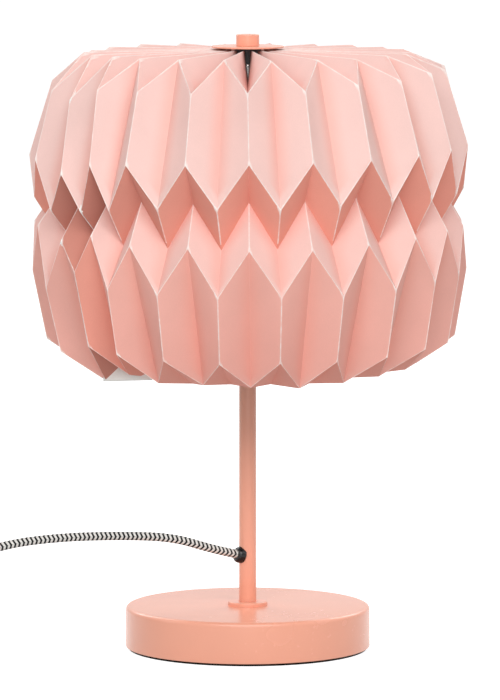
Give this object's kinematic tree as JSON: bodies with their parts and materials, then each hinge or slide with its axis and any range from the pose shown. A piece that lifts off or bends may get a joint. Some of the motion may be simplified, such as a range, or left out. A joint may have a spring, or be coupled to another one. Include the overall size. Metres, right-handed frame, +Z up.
{
  "type": "pleated paper table lamp",
  "caption": "Table lamp with a folded paper drum shade on a slim metal stem and a round weighted base, with a braided cord, a rocker switch and a plug.",
  "frame": {"origin": "centre of the base's underside, on the surface the lamp stands on", "axes": "+Z up the stem, -Y towards the lamp's front, the cord leaves the stem towards -X"},
  "size_m": [0.6129, 0.3038, 0.4276],
  "materials": {
    "pink_paint": "satin salmon-pink powder paint",
    "pink_paper": "matte pale pink printed paper",
    "white_paper": "matte white paper",
    "cast_iron": "rough grey casting",
    "black_rubber": "matte foam pad",
    "zinc_steel": "zinc-plated steel",
    "bright_steel": "bright steel",
    "black_paint": "satin black paint",
    "black_plastic": "satin black plastic",
    "gloss_black": "glossy black plastic",
    "white_ceramic": "white glazed ceramic",
    "brass": "plain brass",
    "nickel_cap": "plain aluminium",
    "nickel_pins": "nickel-plated brass",
    "black_glass": "black insulating glass",
    "clear_glass": "clear glass",
    "filament": "yellow phosphor coating",
    "braided_cord": "black and white herringbone textile braid",
    "wire_insulation": "brown wire insulation",
    "tie_strap": "black woven hook-and-loop strap"
  },
  "bodies": {
    "lamp": {"base_cover": "pink_paint", "base_weight": "cast_iron", "base_pad": "black_rubber", "base_washer": "zinc_steel", "base_nut": "zinc_steel", "lower_pipe": "zinc_steel", "stem_collar": "pink_paint", "stem_tube": "pink_paint", "upper_pipe": "zinc_steel", "cord_grommet": "black_plastic", "cord_anchor": "black_plastic", "cord_in_outlet": "braided_cord", "core_wires": "wire_insulation", "holder_cap": "black_plastic", "holder_body": "black_plastic", "holder_insert": "white_ceramic", "terminal_screws": "brass", "holder_screw_shell": "brass", "holder_contact": "brass", "harp_saddle": "zinc_steel", "harp_wire": "zinc_steel", "harp_ferrules": "zinc_steel", "harp_hub": "zinc_steel", "seat_plate": "black_paint", "hub_washer": "bright_steel", "hub_bush": "black_plastic", "hub_stud": "zinc_steel", "top_disc": "pink_paint", "mains_cord": "braided_cord", "switch_lid": "gloss_black", "switch_tray": "gloss_black", "switch_contacts": "brass", "switch_screws": "zinc_steel", "coil_lead": "braided_cord", "cord_coil": "braided_cord", "coil_tie": "tie_strap", "plug_lead": "braided_cord", "plug_body": "black_plastic", "plug_pins": "nickel_pins", "plug_pin_sleeves": "black_plastic"},
    "shade": {"shade_sheet_left": "pink_paper", "shade_sheet_right": "pink_paper", "seam_tapes": "white_paper"},
    "bulb": {"bulb_screw_cap": "nickel_cap", "bulb_globe": "clear_glass", "bulb_insulator": "black_glass", "bulb_tip_contact": "brass", "bulb_glass_stem": "clear_glass", "bulb_filaments": "filament"},
    "knob": {"finial_knob": "pink_paint"},
    "rocker": {"switch_rocker": "gloss_black"}
  },
  "joints": [
    {"name": "shade_turn", "type": "hinge", "parent": "lamp", "child": "shade", "pos_m": [0, 0, 0.39], "axis": [0, 0, 1], "continuous": true},
    {"name": "bulb_screw", "type": "hinge", "parent": "lamp", "child": "bulb", "pos_m": [0, 0, 0.26], "axis": [0, 0, 1], "continuous": true},
    {"name": "knob_screw", "type": "hinge", "parent": "lamp", "child": "knob", "pos_m": [0, 0, 0.42], "axis": [0, 0, 1], "continuous": true},
    {"name": "switch_rock", "type": "hinge", "parent": "lamp", "child": "rocker", "pos_m": [-0.331, 0, 0.0145], "axis": [0, -1, 0], "range_deg": [0, 14]}
  ]
}
